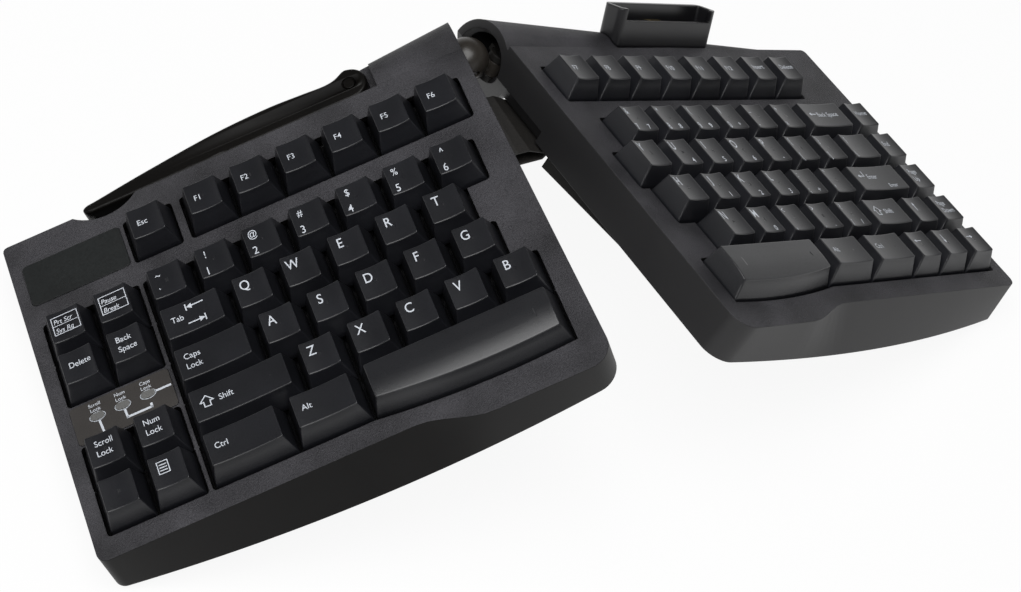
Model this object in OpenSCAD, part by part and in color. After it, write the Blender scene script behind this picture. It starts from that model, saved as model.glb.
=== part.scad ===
/* [Pose] */
// Tilt of each half from the desk at rest, in degrees
tent = 24; // [16:1:28]
// Turn of each half away from the middle at rest, in degrees
splay = 7; // [5:0.5:10]

/* [Keys] */
// Distance from one key to the next
pitch = 19.05; // [18.6:0.05:19.4]
// Gap between two neighbouring caps
cap_gap = 0.85; // [0.7:0.05:1.2]
// How far a space bar's front bows out
space_bow = 3.6; // [2.5:0.1:4.5]
// How far a space bar's top rolls down to its front
roll = 2.4; // [1.5:0.1:3]
// Height of a cap from its skirt edge to its top
cap_h = 10; // [9:0.5:11]
// How much narrower a cap's top is than its base
cap_taper = 5.5; // [4:0.5:6.5]
// How far a cap's front leans back
cap_front = 3.6; // [2.5:0.1:4.2]
// How far a cap's rear leans forward
cap_rear = 0.8; // [0.4:0.1:1.2]
// Depth of the finger dish in a cap's top
dish = 0.7; // [0.4:0.1:1]
// Wall of a cap
cap_wall = 1.3; // [1:0.1:1.6]
// Travel of a key
travel = 3.5; // [3:0.1:3.8]
// Radius of a cap's plunger
plunger_r = 2.6; // [2.2:0.1:3]
// Gap of the function row to the number row, beyond one pitch
f_gap = 10.3; // [9:0.1:12]
// Gap of the two-column block to the main keys
block_gap = 2.5; // [2:0.1:3.5]

/* [Case] */
// Wall of the covers
wall = 2.5; // [2:0.1:3]
// Height of the case walls
wall_h = 18.5; // [18:0.5:21]
// Radius of the rear barrel at the middle of the keyboard
barrel_r = 16; // [15.6:0.1:17]
// How far the barrel's crest stands above the top
crest = 1; // [0.5:0.1:1.5]
// Radius of the rear barrel at the outer end
barrel_tip_r = 1.5; // [1:0.1:2]
// Margin from the keys to the outer edge
outer_margin = 6.4; // [5.5:0.1:8]
// Margin from the left keys to the middle edge
left_margin = 5.7; // [5:0.1:7]
// Margin from the right keys to the middle edge
right_margin = 7.7; // [7:0.1:9]
// Margin behind the function row
rear_margin = 12.1; // [11.5:0.1:14]
// Margin in front of the bottom row
front_margin = 9.1; // [8.6:0.1:11]
// How far the front edge steps out near the middle
bulge = 7.3; // [5:0.1:9]
// How far the foot of the front wall bows out
bow = 8.5; // [6:0.1:10]
// Radius of the front corner at the middle
front_r = 9; // [7:0.5:11]
// Radius of the outer corners
corner_r = 4; // [3:0.5:6]
// Slant of the left half's middle edge, in degrees
left_slant = 1.6; // [0.5:0.1:2]
// Slant of the right half's middle edge, in degrees
right_slant = 0.4; // [0.1:0.1:1]
// Clearance round each group of caps, beyond the pitch
open_clear = 0.5; // [0.4:0.05:0.8]
// Thickness of the bottom cover
floor_t = 2.5; // [2.2:0.1:3]
// Depth of the bottom cover's hump under the middle edge
belly = 9.5; // [8:0.5:10.5]
// Radius of a rubber foot
foot_r = 5; // [4:0.5:5.5]
// Thickness of a rubber foot
foot_t = 1.5; // [1.2:0.1:2.5]
// Radius of a screw's shank
screw_r = 1.2; // [1:0.1:1.4]

/* [Ball joint] */
// Radius of the ball
ball_r = 8.75; // [8.4:0.05:9]
// How far the ball's centre stands out of the left half
ball_out = 0.7; // [0.5:0.1:1.2]
// Length from the ball's centre to the splay pin
neck_len = 13; // [12.8:0.1:13.6]
// How far inside the right half the splay pin stands
pin_in = 6.3; // [6:0.1:6.8]
// Radius of the tent pin
tent_pin_r = 1.5; // [1.3:0.1:1.8]
// Radius of the splay pin
splay_pin_r = 2; // [1.8:0.1:2.2]
// Radius of the mouth that the ball swings in
mouth_r = 13.9; // [13.6:0.1:14.2]
// Slant of the barrel ends below the ball, in degrees
mitre = 30; // [30:0.5:33]
// Running clearance of a pin in its hole
fit = 0.05; // [0.03:0.01:0.08]
// Clearance between pieces that pass each other
clear = 0.3; // [0.25:0.05:0.4]

/* [Lock lever] */
// Place of the lever's shaft from the middle edge
lever_x = 44.6; // [42:0.1:47]
// Length of the lever from its shaft to its tip
lever_len = 113; // [95:1:118]
// Radius of the lever's round end
lever_r = 7; // [6.5:0.1:7.3]
// Thickness of the lever
lever_t = 6; // [5:0.1:6.5]
// How far the lever's top lies under the case top
lever_sink = 1.5; // [1:0.1:2]
// Radius of the lever's shaft
shaft_r = 2; // [1.7:0.1:2.4]
// Throw of the cam on the lever's shaft
cam_throw = 0.6; // [0.4:0.1:0.8]

/* [Card reader] */
// Width of the reader's hood
reader_w = 61; // [59:0.5:62]
// Depth of the reader's hood
reader_d = 11; // [10.8:0.1:11.6]
// Height of the hood along its lean
reader_h = 15; // [14:0.5:16]
// Height of the hood's front lip along its lean
lip_h = 10; // [9:0.5:11]
// Lean of the hood to the rear, in degrees
reader_lean = 25; // [20:1:28]
// Wall of the hood
hood_wall = 2; // [1.8:0.1:2.2]
// Place of the hood's near side from the middle edge
reader_x = 63.5; // [60:0.5:68]

/* [Hidden] */
$fn = 48;

// Levels, from the ball's centre
top_z = barrel_r - crest;
wall_z = top_z - wall_h;
plate_t = wall;
under_z = top_z - plate_t;
floor_top = wall_z + 1.5;
floor_z = floor_top - floor_t;
back_t = 1.2;
film_t = 0.8;
film_z = floor_top + back_t;
dome_z = film_z + film_t;
dome_t = 0.8;
skirt_z = top_z - 2;
guide_t = 2;
guide_z = skirt_z - travel - 1 - guide_t;
ring_top = dome_z + dome_t + travel + 0.2;
plunger_z = ring_top + clear;

// Plan of one half: x runs outwards from the middle edge, y to the rear from the ball
left_zero = 7.25 * pitch + left_margin;
right_zero = 6.5 * pitch - right_margin;
case_w = left_zero + 2 * pitch + block_gap + outer_margin;
rear_y = -6;
f_y = rear_y - rear_margin - pitch / 2;
number_y = f_y - pitch - f_gap;
front_y = number_y - 4.5 * pitch - front_margin;
block_u = -2 - block_gap / pitch;
step_near = 42;
step_far = 70;
bow_x = 75;
strip_y = (f_y + number_y) / 2;
tray_front = number_y - 4 * pitch - 8.3;
tray_rear = rear_y - 11.6;
tray_in = 4;
tray_out = case_w - 4;
boss_r = 2.8;
head_r = 2.4;
head_t = 1.5;
boss_xs = [12, 92, case_w - 12];
front_boss_y = front_y + wall + boss_r + 0.6;
foot_x = case_w - wall - clear - foot_r;
foot_z = floor_z - foot_t;
foot_ys = [rear_y - 14, front_y + 14];
inner_foot_x = 16;
inner_foot_ys = [rear_y - 14, front_y + 7.5];

// Turns of the two halves that set all four outer feet on the desk
fold_near = 2 * atan2(sin(splay), cos(splay) * cos(tent));
left_reach = foot_x + foot_r + ball_out;
right_reach = foot_x + foot_r - pin_in + neck_len * cos(fold_near);
level = atan2((right_reach - left_reach) * sin(tent),
              (right_reach + left_reach) * cos(tent) + 2 * foot_z * sin(tent));
left_tent = tent + level;
right_tent = tent - level;
fold = 2 * atan2(sin(splay) * cos(level), cos(splay) * cos(tent));
swing_x = sin(splay) * sin(level) * cos(fold / 2) - cos(splay) * sin(tent) * sin(fold / 2);
swing_y = cos(splay) * sin(tent) * cos(fold / 2) + sin(splay) * sin(level) * sin(fold / 2);
tent_turn = atan2(-swing_x, swing_y);
ball_pos = [-3.143, 68.064, left_reach * sin(left_tent) - foot_z * cos(left_tent)];

function row_y(row) = row == 0 ? f_y : number_y - (row - 1) * pitch;
function smooth(t) = t <= 0 ? 0 : t >= 1 ? 1 : t * t * (3 - 2 * t);

// Keys as [left edge and width in pitches, row], row 0 being the function row
f1_u = 1.22;
esc_keys = [[0, 1, 0]];
f_left_keys = [for (i = [0:5]) [f1_u + i, 1, 0]];
number_left_keys = [for (i = [0:6]) [i, 1, 1]];
tab_keys = [[0, 1.5, 2]];
q_keys = [for (i = [0:4]) [1.5 + i, 1, 2]];
caps_keys = [[0, 1.75, 3]];
a_keys = [for (i = [0:4]) [1.75 + i, 1, 3]];
left_shift_keys = [[0, 2.25, 4]];
z_keys = [for (i = [0:4]) [2.25 + i, 1, 4]];
left_ctrl_keys = [[0, 1.75, 5]];
left_alt_keys = [[1.75, 1.5, 5]];
left_space_keys = [[3.25, 4, 5]];
edit_upper_keys = [for (r = [1, 2], i = [0, 1]) [block_u + i, 1, r]];
edit_lower_keys = [for (r = [4, 5], i = [0, 1]) [block_u + i, 1, r]];
f_right_keys = [for (i = [0:7]) [6.5 + i, 1, 0]];
number_right_keys = [for (i = [0:5]) [7 + i, 1, 1]];
backspace_keys = [[13, 1.75, 1]];
y_keys = [for (i = [0:6]) [6.5 + i, 1, 2]];
backslash_keys = [[13.5, 1.25, 2]];
h_keys = [for (i = [0:5]) [6.75 + i, 1, 3]];
enter_keys = [[12.75, 2, 3]];
n_keys = [for (i = [0:4]) [7.25 + i, 1, 4]];
right_shift_keys = [[12.25, 1.5, 4]];
navigation_keys = [for (r = [1:4]) [14.75, 1, r]];
arrow_keys = [[13.75, 1, 4], [12.75, 1, 5], [13.75, 1, 5], [14.75, 1, 5]];
right_space_keys = [[6.5, 3.25, 5]];
right_alt_keys = [[9.75, 1.5, 5]];
right_ctrl_keys = [[11.25, 1.5, 5]];
left_keys = concat(esc_keys, f_left_keys, number_left_keys, tab_keys, q_keys, caps_keys, a_keys,
                   left_shift_keys, z_keys, left_ctrl_keys, left_alt_keys, left_space_keys,
                   edit_upper_keys, edit_lower_keys);
right_keys = concat(f_right_keys, number_right_keys, backspace_keys, y_keys, backslash_keys, h_keys,
                    enter_keys, n_keys, right_shift_keys, navigation_keys, arrow_keys,
                    right_space_keys, right_alt_keys, right_ctrl_keys);

// Openings in the top covers as [left edge, right edge, row]
left_openings = [[0, 1, 0], [f1_u, f1_u + 6, 0], [0, 7, 1], [0, 6.5, 2], [0, 6.75, 3], [0, 7.25, 4],
                 [0, 7.25, 5], [block_u, block_u + 2, 1], [block_u, block_u + 2, 2],
                 [block_u, block_u + 2, 4], [block_u, block_u + 2, 5]];
right_openings = [[6.5, 14.5, 0], [7, 15.75, 1], [6.5, 15.75, 2], [6.75, 15.75, 3], [7.25, 15.75, 4],
                  [6.5, 15.75, 5]];

function left_x(u) = left_zero - u * pitch;
function right_x(u) = u * pitch - right_zero;
function key_x(u, left) = left ? left_x(u) : right_x(u);

// The plan of the case at a height, drawn in by an inset
function share(z) = (top_z - z) / wall_h;
function front_top(x) = front_y - bulge * smooth((step_far - x) / (step_far - step_near));
function front_foot(x) = front_y - bulge - 2.5 + bow * pow((x - bow_x) / 115, 2);
function front_at(x, k) = (1 - k) * front_top(x) + k * front_foot(x);
function lift(d, r) = d >= r ? 0 : r - sqrt(max(0, r * r - (r - d) * (r - d)));
function inner_at(y, slant) = y * tan(slant);
function plan(z, slant, inset = 0) =
    let (k = share(z),
         x0 = inner_at(front_y, slant) + inset,
         x1 = case_w - inset,
         r0 = front_r - inset / 2,
         r1 = corner_r - inset / 2,
         span = 36,
         xs = concat([for (a = [0:9:81]) x0 + r0 * (1 - cos(a))],
                     [for (i = [0:span]) x0 + r0 + (x1 - r1 - x0 - r0) * i / span],
                     [for (a = [81:-9:0]) x1 - r1 * (1 - cos(a))]))
    concat([for (x = xs) [x, front_at(x, k) + inset + lift(x - x0, r0) + lift(x1 - x, r1)]],
           [for (a = [0:30:90]) [x1 - 2 + 2 * cos(a), rear_y - inset - 2 + 2 * sin(a)]],
           [[inner_at(rear_y, slant) + inset, rear_y - inset]]);

// A solid between the plan at two heights
module loft(z0, z1, slant, inset = 0) {
    low = plan(z0, slant, inset);
    high = plan(z1, slant, inset);
    n = len(low);
    polyhedron(
        points = concat([for (p = low) [p[0], p[1], z0]], [for (p = high) [p[0], p[1], z1]]),
        faces = concat([[for (i = [0:n - 1]) i]],
                       [[for (i = [n - 1:-1:0]) n + i]],
                       [for (i = [0:n - 1]) [i, n + i, (i + 1) % n]],
                       [for (i = [0:n - 1]) [(i + 1) % n, n + i, n + (i + 1) % n]]));
}

// The tapering barrel along the rear edge, thinned by an inset; its hollow stops short of the tip
barrel_y = [0, 3];
hollow_share = 0.55;
module barrel(side, inset = 0) {
    base = [0, barrel_y[side], 0];
    reach = [case_w - 6, rear_y - 0.7 - barrel_tip_r, top_z - 0.7 - barrel_tip_r] - base;
    run = norm([reach[0], reach[1]]);
    len = norm(reach);
    part = inset > 0 ? hollow_share : 1;
    over = 6;
    slope = (barrel_r - barrel_tip_r) / len;
    translate(base)
        rotate([0, 0, atan2(reach[1], reach[0])])
            rotate([0, 90 - atan2(reach[2], run), 0])
                translate([0, 0, -over])
                    cylinder(h = part * len + over, r1 = barrel_r + slope * over - inset,
                             r2 = barrel_r - slope * part * len - inset);
}

// Everything outwards of the slanting middle edge
beyond = 300;
module outboard(slant, inset = 0) {
    translate([0, 0, -beyond])
        linear_extrude(2 * beyond)
            polygon([[inner_at(-beyond, slant) + inset, -beyond], [beyond, -beyond], [beyond, beyond],
                     [inner_at(beyond, slant) + inset, beyond]]);
}

module box(x0, x1, y0, y1, z0, z1) {
    translate([x0, y0, z0])
        cube([x1 - x0, y1 - y0, z1 - z0]);
}

module round_rect(w, d, r) {
    square([w - 2 * r, d], center = true);
    square([w, d - 2 * r], center = true);
    for (x = [-1, 1], y = [-1, 1])
        translate([x * (w / 2 - r), y * (d / 2 - r)])
            circle(r);
}

module at_keys(keys, left) {
    for (k = keys)
        translate([key_x(k[0] + k[1] / 2, left), row_y(k[2]), 0])
            children();
}

module key_openings(left) {
    translate([0, 0, under_z - 1])
        linear_extrude(plate_t + 2)
            for (o = left ? left_openings : right_openings)
                translate([(key_x(o[0], left) + key_x(o[1], left)) / 2, row_y(o[2])])
                    round_rect((o[1] - o[0]) * pitch + 2 * open_clear, pitch + 2 * open_clear, 1.5);
    translate([0, 0, under_z - 1])
        linear_extrude(plate_t + 2)
            for (k = left ? left_space_keys : right_space_keys)
                translate([key_x(k[0] + k[1] / 2, left), row_y(k[2])])
                    space_plan(k[1] * pitch / 2 + open_clear, pitch / 2 + open_clear, 0);
}

// Screw places of one half
module at_bosses() {
    for (x = boss_xs) {
        translate([x, strip_y, 0])
            children();
        translate([x, front_boss_y - (x < step_near ? bulge : 0), 0])
            children();
    }
}

module bosses() {
    at_bosses()
        difference() {
            translate([0, 0, floor_top])
                cylinder(h = under_z - floor_top + 1, r = boss_r);
            translate([0, 0, floor_top - 1])
                cylinder(h = 11, r = screw_r + fit);
        }
}

// The ledge that the lever lies on, and the finger scallop at its tip
bay_x = lever_x - lever_r - 2.6;
bay_z = top_z - lever_sink - lever_t - clear;
scallop_r = 19.4;
scallop_x = lever_x + lever_len - 9;
scallop_y = rear_y - 5 + scallop_r;
lever_y = rear_y + lever_r + 0.8;

module lever_bay(grow = 0) {
    box(bay_x - grow, case_w + 20, rear_y - grow, 60, bay_z - grow, 60);
    translate([scallop_x, scallop_y, bay_z - grow])
        cylinder(h = 60, r = scallop_r + grow, $fn = 96);
}

// Inlays on the left top: badge and light panel
badge_w = 40;
badge_d = 19;
badge_t = 1;
badge_x = left_x(block_u + 1) + 0.6;
badge_y = f_y;
panel_w = 2 * pitch + 1;
panel_d = pitch - 2 * open_clear - 1.6;
panel_x = left_x(block_u + 1);
panel_y = row_y(3);
trim_gap = 0.1;

// Cuts the barrel ends back below the ball, so that the halves can fold
mitre_z = 1.5;
mitre_reach = 40;
module mitre_cut(grow = 0) {
    deep = mitre_reach;
    far = (mitre_z + deep) * tan(mitre) + grow / cos(mitre);
    rotate([90, 0, 0])
        linear_extrude(2 * (mitre_reach + grow), center = true)
            polygon([[-deep, mitre_z], [grow / cos(mitre), mitre_z], [far, -deep], [-deep, -deep]]);
}

module shell(side, slant) {
    difference() {
        intersection() {
            union() {
                loft(wall_z, top_z, slant);
                barrel(side);
            }
            outboard(slant);
        }
        difference() {
            union() {
                loft(wall_z - 1, under_z, slant, wall);
                intersection() {
                    barrel(side, wall);
                    outboard(slant, wall);
                }
            }
            mitre_cut(wall);
            if (side == 0)
                lever_bay(wall);
        }
        mitre_cut();
        if (side == 0)
            lever_bay();
    }
}

cup_r = 11;
cup_len = 14;

module left_top_cover() {
    color([0.12, 0.12, 0.14])
        left_half()
            difference() {
                union() {
                    shell(0, left_slant);
                    bosses();
                    lever_boss();
                }
                key_openings(true);
                translate([-20, 0, 0])
                    rotate([0, 90, 0])
                        cylinder(h = 40, r = cup_r + fit);
                translate([badge_x, badge_y, top_z - badge_t + 0.2])
                    linear_extrude(5)
                        round_rect(badge_w + 2 * trim_gap, badge_d + 2 * trim_gap, 2);
                translate([panel_x, panel_y, top_z - badge_t + 0.2])
                    linear_extrude(5)
                        round_rect(panel_w + 2 * trim_gap, panel_d + 2 * trim_gap, 1.5);
                for (x = [-1:1])
                    translate([panel_x + x * light_step, panel_y + 1, under_z - 1])
                        cylinder(h = 9, r = 1.2);
                translate([lever_x, lever_y, floor_z])
                    cylinder(h = 60, r = shaft_r + fit);
            }
}

// The bored block under the ledge that carries the lever's shaft
module lever_boss() {
    half = 6;
    rear = 7.4;
    box(lever_x - half, lever_x + half, lever_y - half, lever_y + rear, cam_top + clear, bay_z - 0.5);
}

light_step = 10;

module floor_plate(side, slant) {
    difference() {
        intersection() {
            loft(floor_z, floor_top, slant, wall + clear);
            box(-beyond, case_w, -beyond, rear_y - wall - clear, floor_z, floor_top);
        }
        barrel(side, -clear);
        mitre_cut(wall + clear);
    }
}

// The hump below the floor: deepest at its rear end near the middle edge
module hump(inset) {
    x0 = 9 + inset;
    x1 = case_w - 16 - inset;
    y0 = row_y(5) - 6 + inset;
    y1 = row_y(1) + 14 - inset;
    deep = floor_z - belly + inset;
    thin = floor_z - 0.5 + inset;
    top = inset > 0 ? floor_top + 1 : floor_z + 0.5;
    polyhedron(
        points = [[x0, y0, thin], [x1, y0, thin], [x1, y1, thin], [x0, y1, deep],
                  [x0, y0, top], [x1, y0, top], [x1, y1, top], [x0, y1, top]],
        faces = [[0, 1, 3], [1, 2, 3], [4, 7, 5], [5, 7, 6], [0, 5, 1], [0, 4, 5], [1, 6, 2], [1, 5, 6],
                 [2, 7, 3], [2, 6, 7], [3, 4, 0], [3, 7, 4]]);
}

module bottom_cover(side, slant) {
    difference() {
        union() {
            floor_plate(side, slant);
            hump(0);
        }
        hump(1.8);
        at_bosses() {
            translate([0, 0, floor_z - 1])
                cylinder(h = floor_t + 2, r = screw_r + clear);
            translate([0, 0, floor_z - 1])
                cylinder(h = head_t + 1, r = head_r + fit);
        }
    }
}

module left_bottom_cover() {
    color([0.1, 0.1, 0.1])
        left_half()
            bottom_cover(0, left_slant);
}

module tray_plate(z, t) {
    difference() {
        box(tray_in, tray_out, tray_front, tray_rear, z, z + t);
        for (x = boss_xs)
            translate([x, strip_y, z - 1])
                cylinder(h = t + 2, r = boss_r + clear);
        mitre_cut(wall + clear);
    }
}

rim = 2;
module guide_plate(keys, left) {
    difference() {
        union() {
            tray_plate(guide_z, guide_t);
            difference() {
                box(tray_in, tray_out, tray_front, tray_rear, dome_z + dome_t, guide_z + 0.1);
                box(tray_in + rim, tray_out - rim, tray_front + rim, tray_rear - rim, dome_z, guide_z + 1);
            }
        }
        at_keys(keys, left)
            translate([0, 0, guide_z - 1])
                cylinder(h = guide_t + 2, r = plunger_r + clear);
    }
}

ring_r = plunger_r + clear + 0.2;
module dome_sheet(keys, left) {
    difference() {
        union() {
            tray_plate(dome_z, dome_t);
            at_keys(keys, left)
                translate([0, 0, dome_z + dome_t / 2])
                    cylinder(h = ring_top - dome_z - dome_t / 2, r1 = ring_r + 1.8, r2 = ring_r + 0.8);
        }
        at_keys(keys, left)
            translate([0, 0, dome_z + dome_t])
                cylinder(h = 20, r = ring_r);
    }
}

module left_guide_plate() {
    color([0.75, 0.75, 0.72])
        left_half()
            guide_plate(left_keys, true);
}

module left_dome_sheet() {
    color([0.8, 0.82, 0.8])
        left_half()
            dome_sheet(left_keys, true);
}

module left_membrane() {
    color([0.5, 0.65, 0.6])
        left_half()
            tray_plate(film_z, film_t);
}

module left_back_plate() {
    color([0.7, 0.7, 0.72])
        left_half()
            tray_plate(floor_top, back_t);
}

module feet() {
    for (y = foot_ys)
        translate([foot_x, y, foot_z])
            cylinder(h = foot_t, r = foot_r);
    for (y = inner_foot_ys)
        translate([inner_foot_x, y, foot_z])
            cylinder(h = foot_t, r = foot_r);
}

module left_feet() {
    color([0.06, 0.06, 0.06])
        left_half()
            feet();
}

module screws() {
    at_bosses() {
        translate([0, 0, floor_z])
            cylinder(h = head_t, r = head_r);
        translate([0, 0, floor_z])
            cylinder(h = floor_t + 7, r = screw_r);
    }
}

module left_screws() {
    color([0.6, 0.6, 0.62])
        left_half()
            screws();
}

module badge_plate() {
    color([0.03, 0.03, 0.03])
        left_half()
            translate([badge_x, badge_y, top_z - badge_t + 0.2])
                linear_extrude(badge_t)
                    round_rect(badge_w, badge_d, 2);
}

module light_shape(grow) {
    for (x = [-1.2, 1.2])
        translate([x, 0])
            circle(1.5 + grow);
    square([2.4, 3 + 2 * grow], center = true);
}

module indicator_panel() {
    color([0.25, 0.22, 0.2])
        left_half()
            translate([panel_x, panel_y, top_z - badge_t + 0.2])
                difference() {
                    linear_extrude(badge_t)
                        round_rect(panel_w, panel_d, 1.5);
                    for (x = [-1:1])
                        translate([x * light_step, 1, -1])
                            linear_extrude(5)
                                light_shape(fit);
                }
}

module indicator_lights() {
    color([0.75, 0.75, 0.72])
        left_half()
            for (x = [-1:1])
                translate([panel_x + x * light_step, panel_y + 1, top_z - badge_t + 0.2])
                    linear_extrude(badge_t + 0.3)
                        light_shape(0);
}

// The cup that the ball turns in, let into the end of the left barrel
module ball_cup() {
    color([0.2, 0.2, 0.2])
        left_half()
            difference() {
                intersection() {
                    translate([-1, 0, 0])
                        rotate([0, 90, 0])
                            cylinder(h = cup_len + 1, r = cup_r);
                    outboard(left_slant, 0.2);
                }
                translate([-ball_out, 0, 0])
                    sphere(ball_r + fit * 2, $fn = 96);
                box(-5, cup_len + 5, -bar_t / 2 - clear, bar_t / 2 + clear,
                    -bar_h / 2 - clear, bar_h / 2 + clear);
                mitre_cut();
            }
}

// The flat bar from the ball's own pin to the cam
bar_t = 3;
bar_h = 7;
cam_r = 3.2;
eye_z = -1;
cam_z = eye_z + 0.5;
cam_h = 3.5;
cam_top = bar_h / 2 + 0.5;
bar_eye_r = cam_r + cam_throw + clear;
eye_wall = 1;
module draw_bar() {
    color([0.7, 0.7, 0.72])
        left_half()
            difference() {
                union() {
                    box(-ball_out, lever_x - bar_eye_r - 0.2, -bar_t / 2, bar_t / 2, -bar_h / 2, bar_h / 2);
                    translate([-ball_out, 0, 0])
                        rotate([90, 0, 0])
                            cylinder(h = bar_t, r = bar_h / 2, center = true);
                    translate([lever_x, lever_y, eye_z])
                        cylinder(h = bar_h / 2 - eye_z, r = bar_eye_r + eye_wall);
                }
                translate([-ball_out, 0, 0])
                    rotate([0, 0, -tent_turn])
                        rotate([90, 0, 0])
                            cylinder(h = 40, r = tent_pin_r + fit, center = true);
                translate([lever_x, lever_y, -bar_h])
                    cylinder(h = 2 * bar_h, r = bar_eye_r);
            }
}

// Lever plan: a round end, a waist, then a long taper to the tip
module lever_plan() {
    tip_r = 2.2;
    circle(lever_r);
    translate([lever_len - tip_r, rear_y + tip_r + 0.8 - lever_y])
        circle(tip_r);
    polygon([[0, -lever_r], [lever_len - tip_r, rear_y + 0.8 - lever_y],
             [lever_len - tip_r, rear_y + 2 * tip_r + 0.8 - lever_y],
             [lever_len * 0.5, 4.6], [lever_len * 0.3, 5.6], [lever_len * 0.18, 5.2], [lever_len * 0.09, 4.2],
             [3, 5]]);
}

module lock_lever() {
    color([0.16, 0.15, 0.14])
        left_half()
            difference() {
                translate([lever_x, lever_y, bay_z + clear])
                    linear_extrude(lever_t)
                        lever_plan();
                translate([lever_x, lever_y, bay_z - 1])
                    cylinder(h = 60, r = shaft_r + fit);
                translate([lever_x, lever_y, bay_z + clear + lever_t - 1])
                    cylinder(h = 5, r = shaft_r + 0.9);
            }
}

// The shaft turns with the lever and carries the cam that pulls the bar
module cam_shaft() {
    color([0.6, 0.6, 0.62])
        left_half()
            translate([lever_x, lever_y, 0]) {
                translate([0, 0, cam_z - 1])
                    cylinder(h = bay_z + clear + lever_t - 0.4 - cam_z + 1, r = shaft_r);
                translate([cam_throw, 0, cam_z])
                    cylinder(h = cam_h, r = cam_r);
            }
}

tang_h = 6;
tang_r = 4.2;
neck_r = 2.7;
module pivot_ball() {
    color([0.05, 0.05, 0.05])
        pivot()
            difference() {
                union() {
                    sphere(ball_r, $fn = 96);
                    rotate([0, 90, 0])
                        cylinder(h = neck_len, r = neck_r);
                    translate([neck_len, 0, -tang_h / 2])
                        cylinder(h = tang_h, r = tang_r);
                }
                translate([neck_len, 0, -20])
                    cylinder(h = 40, r = splay_pin_r + fit);
                rotate([0, 0, tent_turn])
                    rotate([90, 0, 0])
                        cylinder(h = 40, r = tent_pin_r, center = true);
                rotate([0, 0, tent_turn])
                    bar_slot();
            }
}

// The wedge that lets the bar swing as the halves fold
slot_w = 6.2;
slot_start = 177;
slot_sweep = 66;
module bar_slot() {
    half = bar_h / 2 + 0.6;
    far = 20;
    last = slot_start + slot_sweep;
    rotate([90, 0, 0])
        linear_extrude(slot_w, center = true)
            polygon([[half, half], [-far, half], [-far, -far],
                     [far * cos(last) + half * sin(-last), far * sin(last) + half * cos(last)],
                     [half * sin(-last), half * cos(last)]]);
}

module tent_pin() {
    color([0.7, 0.7, 0.72])
        pivot()
            rotate([0, 0, tent_turn])
                rotate([90, 0, 0])
                    cylinder(h = 2 * ball_r - 3, r = tent_pin_r, center = true);
}

// The soft sleeve that hides the wires between the halves
module cable_boot() {
    color([0.12, 0.11, 0.09])
        translate(ball_pos)
            rotate([90, 0, 0])
                translate([0, 0, 19])
                    linear_extrude(26)
                        polygon([[-6, -12.5], [8.5, -12.5], [11, -9.1], [8.9, -8.3], [4, -4.5], [0.5, -4.5],
                                 [-3.4, -6.1], [-8, -8.2]]);
}

module right_top_cover() {
    color([0.12, 0.12, 0.14])
        right_half()
            difference() {
                union() {
                    shell(1, right_slant);
                    bosses();
                }
                key_openings(false);
                fork_form(fit);
                translate([pin_in - neck_len * cos(fold), neck_len * sin(fold), 0])
                    sphere(mouth_r, $fn = 96);
            }
}

module right_bottom_cover() {
    color([0.1, 0.1, 0.1])
        right_half() {
            bottom_cover(1, right_slant);
            intersection() {
                at_board_posts()
                    translate([0, 0, -40])
                        cylinder(h = board_z + 40, r = 2);
                hump(0.9);
            }
        }
}

board_w = 44;
board_d = 24;
board_t = 1.6;
board_x = 40;
board_y = row_y(1) + 14 - 18;
board_z = floor_z - 1.4;
module at_board_posts() {
    for (x = [-1, 1], y = [-1, 1])
        translate([board_x + x * (board_w / 2 - 4), board_y + y * (board_d / 2 - 4), 0])
            children();
}

module controller_board() {
    color([0.1, 0.35, 0.2])
        right_half()
            translate([board_x, board_y, board_z]) {
                translate([-board_w / 2, -board_d / 2, 0])
                    cube([board_w, board_d, board_t]);
                translate([-6, -6, board_t - 0.1])
                    cube([12, 12, 1.1]);
                translate([-board_w / 2 + 3, -8, board_t - 0.1])
                    cube([5, 16, 1.3]);
            }
}

module right_guide_plate() {
    color([0.75, 0.75, 0.72])
        right_half()
            guide_plate(right_keys, false);
}

module right_dome_sheet() {
    color([0.8, 0.82, 0.8])
        right_half()
            dome_sheet(right_keys, false);
}

module right_membrane() {
    color([0.5, 0.65, 0.6])
        right_half()
            tray_plate(film_z, film_t);
}

module right_back_plate() {
    color([0.7, 0.7, 0.72])
        right_half()
            tray_plate(floor_top, back_t);
}

module right_feet() {
    color([0.06, 0.06, 0.06])
        right_half()
            feet();
}

module right_screws() {
    color([0.6, 0.6, 0.62])
        right_half()
            screws();
}

// The fork that holds the ball's tang, seated in the right barrel
fork_w = 13;
fork_h = 12;
fork_len = 12;
module fork_form(grow = 0) {
    box(pin_in - grow, pin_in + fork_len + grow, -fork_w / 2 - grow, fork_w / 2 + grow,
        -fork_h / 2 - grow, fork_h / 2 + grow);
    translate([pin_in, 0, -fork_h / 2 - grow])
        cylinder(h = fork_h + 2 * grow, r = tang_r + grow);
}

module ball_fork() {
    color([0.15, 0.15, 0.15])
        right_half()
            difference() {
                fork_form();
                translate([pin_in, 0, 0]) {
                    box(-20, tang_r + 0.6, -20, 20, -tang_h / 2 - clear, tang_h / 2 + clear);
                    translate([0, 0, -20])
                        cylinder(h = 40, r = splay_pin_r);
                }
            }
}

module splay_pin() {
    color([0.7, 0.7, 0.72])
        right_half()
            translate([pin_in, 0, -fork_h / 2 + 0.4])
                cylinder(h = fork_h - 0.8, r = splay_pin_r);
}

module hood_plan(inset) {
    hood_r = 3;
    round_rect(reader_w - 2 * inset, reader_d - 2 * inset, hood_r - inset);
}

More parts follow.
